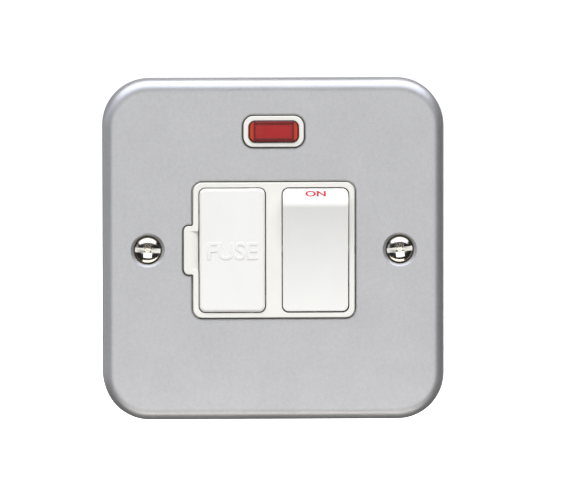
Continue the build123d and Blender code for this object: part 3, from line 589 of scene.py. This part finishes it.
dress(key_finish, "rocker")
red_ink = one_grain(
    size=0.07 * MM,
    dark=shade(172, 18, 32),
    light=shade(188, 34, 44),
    roughness=0.4,
    rougher=0.15,
)
rocker_mesh = nodes["rocker"].data
bevel = max(filter(on_the_bevel, rocker_mesh.polygons), key=lambda face: face.area)
bevel_up = bevel.normal.cross(RIGHT).normalized()
bevel_top = max(rocker_mesh.vertices[corner].co.dot(bevel_up) for corner in bevel.vertices)
print_rise = bevel_top - ON_BELOW_EDGE - bevel.center.dot(bevel_up)
print_middle = bevel.center + bevel_up * print_rise
print_middle.x = (rocker_low.x + rocker_high.x) / 2
lie_on_bevel = Matrix((RIGHT, bevel_up, bevel.normal)).transposed().to_4x4()
on_word = lettering("on_word", "ON", ON_SIZE, ON_HEAVIER, ON_SIZE.z / 4)
on_word.transform(Matrix.Translation(print_middle) @ lie_on_bevel)
on_letters = piece("on_letters", on_word, finish("red_pad_print", red_ink, {}))
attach(on_letters, "rocker_key")

# Plungers and springs: acetal pins that slide in the tubes of the rocker. A coil of music wire
# pushes each against the bent contact bar below it, which snaps the key over.
acetal = one_grain(
    size=0.9 * MM,
    stretch=(1, 3, 1),
    dark=shade(222, 218, 202),
    light=shade(236, 233, 221),
    roughness=0.36,
    rougher=0.1,
)
music_wire = one_grain(
    size=0.06 * MM,
    stretch=(1, 4, 1),
    dark=shade(120, 122, 126),
    light=shade(170, 172, 176),
    roughness=0.22,
    rougher=0.16,
)
dress(finish("acetal", acetal, {"Specular IOR Level": 0.45}), "plungers")
dress(finish("music_wire", music_wire, BARE_METAL), "plunger_springs")

# Contact bars, saddles, clips and strips: half-hard brass blanked and bent from strip, with the
# lines of the rolling along it. Silver tips are riveted on where the circuit makes and breaks.
BRASS_ROLL = 0.1 * MM
BRASS_STAIN = 2.6 * MM
BRASS_DARK = shade(182, 142, 74)
BRASS_LIGHT = shade(222, 188, 116)


def rolled_brass(tree):
    roll = grain(tree, BRASS_ROLL, detail=3, stretch=(1, 1, 14))
    stain = grain(tree, BRASS_STAIN, detail=3)
    return {
        "Base Color": between(tree, roll * 0.4 + stain * 0.6, BRASS_DARK, BRASS_LIGHT),
        "Roughness": 0.24 + stain * 0.14 + roll * 0.06,
        "Normal": relief(tree, roll, depth=0.002 * MM),
    }


contact_silver = one_grain(
    size=0.3 * MM,
    detail=3,
    dark=shade(204, 202, 196),
    light=shade(234, 233, 229),
    roughness=0.2,
    rougher=0.2,
)
brass = finish("rolled_brass", rolled_brass, BARE_METAL)
silver = finish("contact_silver", contact_silver, BARE_METAL)
for pole in ("live", "neutral"):
    dress(brass, f"{pole}_contact_bar", f"{pole}_saddle")
    dress(silver, f"{pole}_moving_contact")
dress(brass, "switched_fuse_clip", "load_fuse_clip", "neutral_fixed_contact")
dress(silver, "fixed_contacts")

# Wire terminals: brass blocks sawn from drawn bar, drilled for the wire and tapped for a clamping
# screw in zinc-plated steel.
for side in ("feed", "load"):
    dress(brass, f"{side}_live_terminal", f"{side}_neutral_terminal")
dress(zinc, "terminal_screws")

# Rear housing: the base of the switch module, moulded in an off-white filled thermoset that is
# duller than the front. Four screws clamp it and the front housing to the bushes of the plate.
BASE_FLOW = 6 * MM
BASE_SPARK = 0.26 * MM
BASE_DARK = shade(212, 209, 200)
BASE_LIGHT = shade(229, 227, 219)


def base_moulding(tree):
    flow = grain(tree, BASE_FLOW, detail=4, stretch=(1.6, 1, 1))
    spark = grain(tree, BASE_SPARK)
    return {
        "Base Color": between(tree, flow * 0.6 + spark * 0.4, BASE_DARK, BASE_LIGHT),
        "Roughness": 0.46 + spark * 0.14,
        "Normal": relief(tree, spark, depth=0.006 * MM),
    }


dress(finish("base_thermoset", base_moulding, {"Specular IOR Level": 0.4}), "rear_housing")
dress(zinc, "module_screws")

# Earth terminal: a bracket folded from zinc-plated steel and welded to the back of the plate. It
# carries a brass block for two earth wires, which zinc-plated screws clamp.
dress(zinc, "earth_bracket", "earth_screws")
dress(brass, "earth_terminal")

# Fixing screws: two raised countersunk screws, M3.5, in nickel-plated steel, with a slot and a
# cross recess in one head. They go in last, through the dimples into the lugs of the wall box.
# Painted shade and reflection darken the rim of the head, where it dips into the dimple.
screw_low, screw_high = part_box("fixing_screws")
HEAD_RADIUS = (screw_high.z - screw_low.z) / 2
HEAD_SUNK = 0.71 * MM
DOME = 1.3 * MM
CROWN = -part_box("front_plate")[0].y - HEAD_SUNK + DOME
TIP = -screw_high.y
RIM_ROUND = 0.22 * MM
NECK_RADIUS = 1.4 * MM
NECK_END = CROWN - 3.9 * MM
THREAD_RADIUS = 1.75 * MM
THREAD_DEPTH = 0.33 * MM
THREAD_PITCH = 0.6 * MM
THREAD_SLOPE = 2.2
THREAD_ROOT = 0.05
TIP_CHAMFER = 0.5 * MM
SLOT_LENGTH = 3 * HEAD_RADIUS
SLOT_WIDTH = 1.1 * MM
SLOT_DEPTH = 1.05 * MM
CROSS_SPAN = 5.0 * MM
CROSS_WIDTH = 2.2 * MM
CROSS_DEPTH = 1.13 * MM
CROSS_RISE = 0.15
CROSS_SIDE = 0.8
SCREW_TURNS = (-3.0, 6.0)
HARD_EDGE_ANGLE = 34
SEGMENTS = 48
DOME_STEPS = 14
ROUND_STEPS = 4
RINGS_PER_TURN = 6
NICKEL_POLISH = 0.5 * MM
NICKEL_HAIR = 0.05 * MM
NICKEL_DARK = shade(214, 208, 192)
NICKEL_LIGHT = shade(238, 233, 220)
RIM_PAINTED_SHADE = shade(66, 54, 26)
RIM_EDGE = (HEAD_RADIUS * 0.83, HEAD_RADIUS * 0.91)
RIM_SHARE = 0.95


def nickel_plate(tree):
    polish = grain(tree, NICKEL_POLISH, detail=3)
    hair = grain(tree, NICKEL_HAIR, stretch=(7, 1, 1))
    # Painted shade and reflection: the rim of the head is darkened.
    rim = ramp_up(tree, from_fixing(tree), *RIM_EDGE)
    bright = between(tree, polish, NICKEL_DARK, NICKEL_LIGHT)
    return {
        "Base Color": between(tree, rim * RIM_SHARE, bright, RIM_PAINTED_SHADE),
        "Roughness": 0.1 + polish * 0.05 + hair * 0.05,
        "Normal": relief(tree, hair, depth=0.0008 * MM),
    }


sawn_nickel = one_grain(
    size=0.08 * MM,
    stretch=(9, 1, 1),
    dark=shade(240, 236, 224),
    light=shade(253, 251, 245),
    roughness=0.34,
    rougher=0.12,
    depth=0.004 * MM,
)
nickel = finish("nickel_plate", nickel_plate, BARE_METAL)
sawn = finish("sawn_nickel", sawn_nickel, BARE_METAL)


def screw_profile():
    """Outline of the screw from its crown to its neck, as pairs of radius and height."""
    sphere = (HEAD_RADIUS**2 + DOME**2) / (2 * DOME)
    edge = HEAD_RADIUS - RIM_ROUND
    outline = []
    for step in range(DOME_STEPS + 1):
        radius = edge * step / DOME_STEPS
        outline.append((radius, CROWN - sphere + math.sqrt(sphere**2 - radius**2)))
    drop = outline[-1][1] - RIM_ROUND
    slope = math.asin(edge / sphere)
    for step in range(1, ROUND_STEPS + 1):
        turn = slope + (math.pi / 2 - slope) * step / ROUND_STEPS
        outline.append((edge + RIM_ROUND * math.sin(turn), drop + RIM_ROUND * math.cos(turn)))
    neck_top = outline[-1][1] - (HEAD_RADIUS - NECK_RADIUS)
    return outline + [(NECK_RADIUS, neck_top), (NECK_RADIUS, NECK_END)]


def thread_radius(height, turn):
    """Radius of the thread at a height and a share of a turn: a V, flat at its crest and root."""
    phase = (height / THREAD_PITCH + turn) % 1.0
    ridge = min(max(THREAD_SLOPE * abs(phase - 0.5) - THREAD_ROOT, 0.0), 1.0)
    run_out = min((NECK_END - height) / THREAD_PITCH, (height - TIP) / TIP_CHAMFER, 1.0)
    return THREAD_RADIUS - THREAD_DEPTH * (1 - ridge * max(run_out, 0.0))


def turned_screw():
    """Closed shape of one screw, with its axis on z and its head up."""
    turns = [segment / SEGMENTS for segment in range(SEGMENTS)]
    rings = [[(radius, height)] * SEGMENTS for radius, height in screw_profile()[1:]]
    steps = round((NECK_END - TIP) / THREAD_PITCH * RINGS_PER_TURN)
    for step in range(1, steps + 1):
        height = NECK_END + (TIP - NECK_END) * step / steps
        rings.append([(thread_radius(height, turn), height) for turn in turns])
    shape = bmesh.new()
    crown = shape.verts.new((0, 0, CROWN))
    tip = shape.verts.new((0, 0, TIP))
    circles = []
    for ring in rings:
        circle = []
        for turn, (radius, height) in zip(turns, ring):
            angle = 2 * math.pi * turn
            place = (radius * math.cos(angle), radius * math.sin(angle), height)
            circle.append(shape.verts.new(place))
        circles.append(circle)
    for segment in range(SEGMENTS):
        after = (segment + 1) % SEGMENTS
        shape.faces.new((crown, circles[0][segment], circles[0][after]))
        shape.faces.new((tip, circles[-1][after], circles[-1][segment]))
        for upper, lower in zip(circles, circles[1:]):
            shape.faces.new((upper[segment], lower[segment], lower[after], upper[after]))
    return shape


def tapered_block(length, width, depth, taper):
    """Cutter from above the crown to a depth, where its length and width shrink to two shares."""
    shape = bmesh.new()
    corners = []
    for height, reach in ((CROWN - depth, 0.0), (CROWN + DOME, 1 + DOME / depth)):
        long, wide = [
            size / 2 * (share + (1 - share) * reach)
            for size, share in zip((length, width), taper)
        ]
        for x, y in ((-1, -1), (1, -1), (1, 1), (-1, 1)):
            corners.append(shape.verts.new((x * long, y * wide, height)))
    low, high = corners[:4], corners[4:]
    shape.faces.new(low[::-1])
    shape.faces.new(high)
    for i in range(4):
        j = (i + 1) % 4
        shape.faces.new((low[i], low[j], high[j], high[i]))
    return shape


def to_mesh(shape, name):
    """Finish a bmesh as a mesh, with its faces looking outwards."""
    bmesh.ops.recalc_face_normals(shape, faces=shape.faces)
    mesh = bpy.data.meshes.new(name)
    shape.to_mesh(mesh)
    shape.free()
    return mesh


def cut_screw():
    """Screw with both arms of the cross and then the slot cut into its head."""
    blank = piece("screw_blank", to_mesh(turned_screw(), "screw_blank"), nickel)
    cutters = []
    for inside, length, width, depth, taper in (
        (nickel, CROSS_WIDTH, CROSS_SPAN, CROSS_DEPTH, (CROSS_SIDE, CROSS_RISE)),
        (nickel, CROSS_SPAN, SLOT_WIDTH, CROSS_DEPTH, (CROSS_RISE, CROSS_SIDE)),
        (sawn, SLOT_LENGTH, SLOT_WIDTH, SLOT_DEPTH, (1.0, 1.0)),
    ):
        block = to_mesh(tapered_block(length, width, depth, taper), "screw_cutter")
        cutters.append(piece("screw_cutter", block, inside))
        cut = blank.modifiers.new("cut", "BOOLEAN")
        cut.operation = "DIFFERENCE"
        cut.solver = "EXACT"
        cut.material_mode = "TRANSFER"
        cut.object = cutters[-1]
    mesh = as_shaped(blank)
    for spent in (blank, *cutters):
        bpy.data.objects.remove(spent)
    return mesh


one_screw = cut_screw()
both = bmesh.new()
for x, turn in zip((-FIXING_PITCH / 2, FIXING_PITCH / 2), SCREW_TURNS):
    driven = one_screw.copy()
    turned = Matrix.Rotation(math.radians(turn), 4, "Z")
    driven.transform(Matrix.Translation((x, 0, 0)) @ UP_TO_FRONT @ turned)
    both.from_mesh(driven)
screws_mesh = to_mesh(both, "threaded_screws")
screws_mesh.shade_smooth()
screws_mesh.set_sharp_from_angle(angle=math.radians(HARD_EDGE_ANGLE))
screws = piece("threaded_fixing_screws", screws_mesh, nickel, sawn)
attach(screws, "unit")
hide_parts("fixing_screws")

# Floor: a wide sheet of pale paper below the object that runs far behind it. It glows by itself,
# and neither lights, shades nor mirrors in the object, so that it stays plain from every side.
FLOOR_DROP = 0.12
FLOOR_HALF = 14.0
FLOOR_PALE = shade(250, 250, 250)
paper = one_grain(
    size=40 * MM,
    detail=3,
    dark=shade(244, 244, 244),
    light=FLOOR_PALE,
    roughness=0.8,
    rougher=0.1,
)
paper_glow = {"Emission Color": FLOOR_PALE, "Emission Strength": 1.0}
floor_shape = bmesh.new()
bmesh.ops.create_grid(floor_shape, x_segments=1, y_segments=1, size=FLOOR_HALF)
floor_shape.transform(Matrix.Translation((0, 0, cad_box[0].z - FLOOR_DROP)))
floor_mesh = to_mesh(floor_shape, "floor")
floor = piece("floor", floor_mesh, finish("floor_paper", paper, paper_glow))
floor.visible_diffuse = False
floor.visible_glossy = False
floor.visible_transmission = False
floor.visible_shadow = False

# Softboxes: a wide one above the front and a little to the left, a weaker one behind, and close
# below a narrow strip for the warm glow of a white table. Gloss mirrors only the strip.


def direction(azimuth, elevation):
    """Unit vector from the object towards an azimuth and an elevation, in degrees."""
    a = math.radians(azimuth)
    e = math.radians(elevation)
    return Vector((math.sin(a) * math.cos(e), -math.cos(a) * math.cos(e), math.sin(e)))


def softbox(name, azimuth, elevation, distance, size, power, mirrored, colour=(1, 1, 1)):
    """Area light that faces the object from a direction."""
    light = bpy.data.lights.new(name, "AREA")
    light.shape = "RECTANGLE"
    light.size, light.size_y = size
    light.energy = power
    light.color = colour
    lamp = bpy.data.objects.new(name, light)
    lamp.visible_glossy = mirrored
    outwards = direction(azimuth, elevation)
    lamp.location = outwards * distance
    lamp.rotation_euler = outwards.to_track_quat("Z", "Y").to_euler()
    bpy.context.scene.collection.objects.link(lamp)


softbox(
    "key_softbox",
    azimuth=-6,
    elevation=56,
    distance=2.0,
    size=(4.2, 1.3),
    power=84,
    mirrored=False,
)
softbox(
    "rear_softbox",
    azimuth=190,
    elevation=40,
    distance=2.2,
    size=(1.8, 1.2),
    power=42,
    mirrored=False,
)
softbox(
    "table_strip",
    azimuth=0,
    elevation=-64,
    distance=0.082,
    size=(0.12, 0.016),
    power=0.0155,
    mirrored=True,
    colour=(1.0, 0.965, 0.92),
)

# Surroundings: white to the camera and dim to the rest. Matt faces get the glow of a pale wall in
# front and of a table below it. Gloss mirrors that wall, with a dark hole which flat faces throw
# to the camera, a panel overhead, and cards on the left and behind.
FRONT_EDGE = (0.7, 0.95)
WALL_FOOT = (-0.4, -0.3)
WALL_TOP = (0.06, 0.14)
TABLE_EDGE = (0.1, 0.35)
TABLE_BACK = (-0.1, 0.3)
PANEL_BACK = (-0.75, -0.3)
PANEL_FRONT = (1.15, 1.4)
PANEL_FOOT = (0.1, 0.3)
PANEL_SIDE = (0.66, 0.76)
OVERHEAD_EDGE = (0.15, 0.6)
HOLE_SIDE = 0.035
HOLE_HEIGHT = -0.073
HOLE_EDGE = (0.004, 0.012)
LEFT_CARD_EDGE = (0.75, 0.9)
LEFT_CARD_FOOT = (-0.3, 0.0)
REAR_CARD_EDGE = (0.4, 0.75)
REAR_CARD_FOOT = (-0.6, -0.3)
REAR_CARD_TOP = (0.0, 0.25)
REAR_WING_EDGE = (0.45, 0.65)
COOL_BACK = (0.1, 0.4)
HORIZON = 0.01
MATT_DIM, MATT_TABLE, MATT_WALL = 0.06, 0.35, 0.5
GLOSS_DIM, GLOSS_WALL, GLOSS_PANEL = 0.02, 1.7, 1.9
GLOSS_LEFT_CARD, GLOSS_REAR_CARD, GLOSS_REAR_WING = 0.6, 0.2, 0.4
ROOM_WHITE = shade(255, 255, 255)
ROOM_COOL = shade(235, 240, 255)
world = bpy.data.worlds.new("surroundings")
bpy.context.scene.world = world
world.use_nodes = True
sky = world.node_tree
sky.nodes.clear()


def past(value, edge):
    """Soft step from 0 before an edge, which is a pair of places on a direction, to 1 past it."""
    return ramp_up(sky, value, *edge)


towards = Wire.node(sky, "ShaderNodeTexCoord", result="Generated")
side, away, above = (
    Wire.node(sky, "ShaderNodeSeparateXYZ", None, {"Vector": towards}, axis) for axis in "XYZ"
)
seen = Wire.node(sky, "ShaderNodeLightPath", result="Is Camera Ray")
mirrored = Wire.node(sky, "ShaderNodeLightPath", result="Is Glossy Ray")
front = past(-away, FRONT_EDGE)
wall = front * past(above, WALL_FOOT) * (1 - past(above, WALL_TOP))
table = past(-above, TABLE_EDGE) * past(-away, TABLE_BACK)
lean = -(away / above.at_least(HORIZON))
panel = (1 - past(lean, PANEL_FRONT)) * past(lean, PANEL_BACK) * past(above, PANEL_FOOT)
panel = panel * (1 - past(abs(side), PANEL_SIDE))
overhead = 1 - past(lean, OVERHEAD_EDGE)
hole_side = side - HOLE_SIDE
hole_height = above - HOLE_HEIGHT
dark_hole = 1 - past(hole_side * hole_side + hole_height * hole_height, HOLE_EDGE)
left_card = past(-side, LEFT_CARD_EDGE) * past(above, LEFT_CARD_FOOT)
rear_card = past(away, REAR_CARD_EDGE) * past(above, REAR_CARD_FOOT)
rear_card = rear_card * (1 - past(above, REAR_CARD_TOP))
rear_light = GLOSS_REAR_CARD + GLOSS_REAR_WING * past(abs(side), REAR_WING_EDGE)
matt = MATT_DIM + table * MATT_TABLE + wall * MATT_WALL
gloss = GLOSS_DIM + wall * (GLOSS_WALL - dark_hole) + panel * (GLOSS_PANEL + overhead)
gloss = gloss + left_card * GLOSS_LEFT_CARD + rear_card * rear_light
strength = seen + (1 - seen) * (matt + mirrored * (gloss - matt))
cool = mirrored * (1 - front) * (1 - past(away, COOL_BACK))
tint = between(sky, cool, ROOM_WHITE, ROOM_COOL)
backdrop = Wire.node(sky, "ShaderNodeBackground", None, {"Color": tint, "Strength": strength})
Wire.node(sky, "ShaderNodeOutputWorld", None, {"Surface": backdrop})
bpy.context.scene.view_settings.view_transform = "Standard"

# Camera: a long lens some metres off, slightly above the middle of the plate and to its left, with
# a trace of roll. It is aimed so that the middle of the insert's face falls on its own pixel.
PHOTO_WIDTH = 565
PHOTO_HEIGHT = 499
PIXELS_PER_MM = 4.182
MIDDLE_PIXEL = (273.9, 250.1)
CAMERA_AWAY = 4.0
CAMERA_AZIMUTH = -2.0
CAMERA_ELEVATION = 4.2
CAMERA_ROLL = -0.09
CAMERA_REACH = 100.0
island_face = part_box("front_housing")[0].y
pixel = MM / PIXELS_PER_MM
back = direction(CAMERA_AZIMUTH, CAMERA_ELEVATION)
roll = Matrix.Rotation(math.radians(CAMERA_ROLL), 3, "Z").to_quaternion()
turn = back.to_track_quat("Z", "Y") @ roll
right = turn @ RIGHT
up = turn @ Vector((0, 1, 0))
aim = (
    Vector((0, island_face, 0))
    + right * (PHOTO_WIDTH / 2 - MIDDLE_PIXEL[0]) * pixel
    - up * (PHOTO_HEIGHT / 2 - MIDDLE_PIXEL[1]) * pixel
)
lens = bpy.data.cameras.new("long_lens")
lens.lens = lens.sensor_width * CAMERA_AWAY / (PHOTO_WIDTH * pixel)
lens.clip_end = CAMERA_REACH
camera = bpy.data.objects.new("camera", lens)
camera.rotation_mode = "QUATERNION"
camera.rotation_quaternion = turn
camera.location = aim + back * CAMERA_AWAY
bpy.context.scene.collection.objects.link(camera)
bpy.context.scene.camera = camera

# Sizes: the scene is updated once all pieces are dressed.
bpy.context.view_layer.update()
